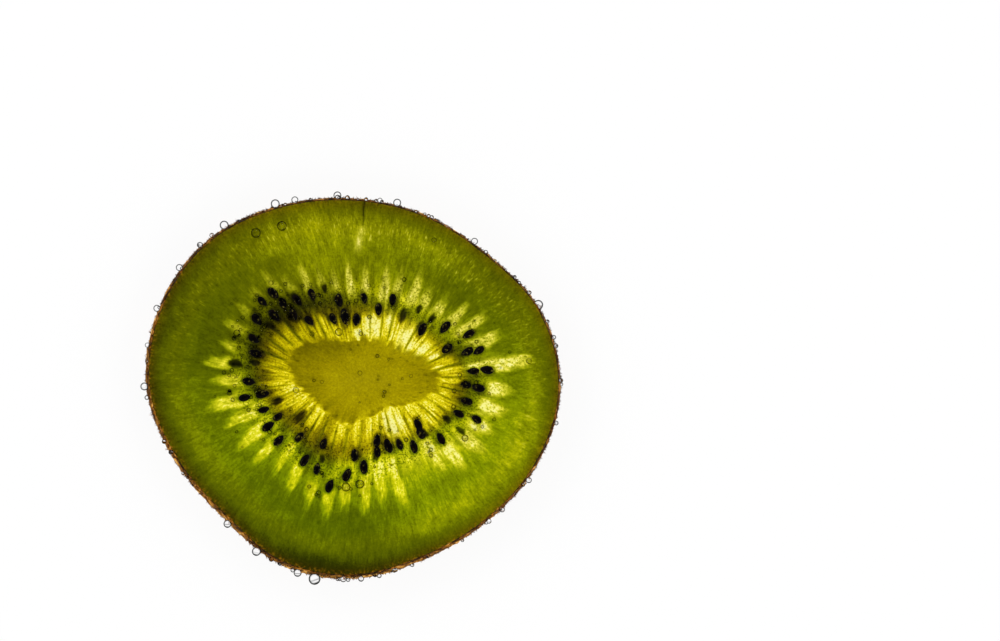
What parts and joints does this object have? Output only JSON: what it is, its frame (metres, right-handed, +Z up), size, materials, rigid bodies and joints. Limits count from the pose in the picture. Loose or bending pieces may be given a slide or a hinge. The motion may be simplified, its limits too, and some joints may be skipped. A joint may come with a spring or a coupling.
{
  "type": "kiwi slice",
  "caption": "Fresh round slice of kiwi fruit lying flat, with thin brown skin, translucent green flesh, a belt of black seeds and a pale core.",
  "frame": {"origin": "middle of the slice's box, on the surface that it lies on", "axes": "+X along the slice's longest width, +Y along its shorter width, +Z up out of the seeded face"},
  "size_m": [0.054, 0.0496, 0.0052],
  "materials": {
    "flesh": null,
    "core": null,
    "skin": null,
    "seed": null,
    "water": "clear drops of water"
  },
  "bodies": {
    "root": {"flesh": "flesh", "core": "core"}
  },
  "joints": []
}
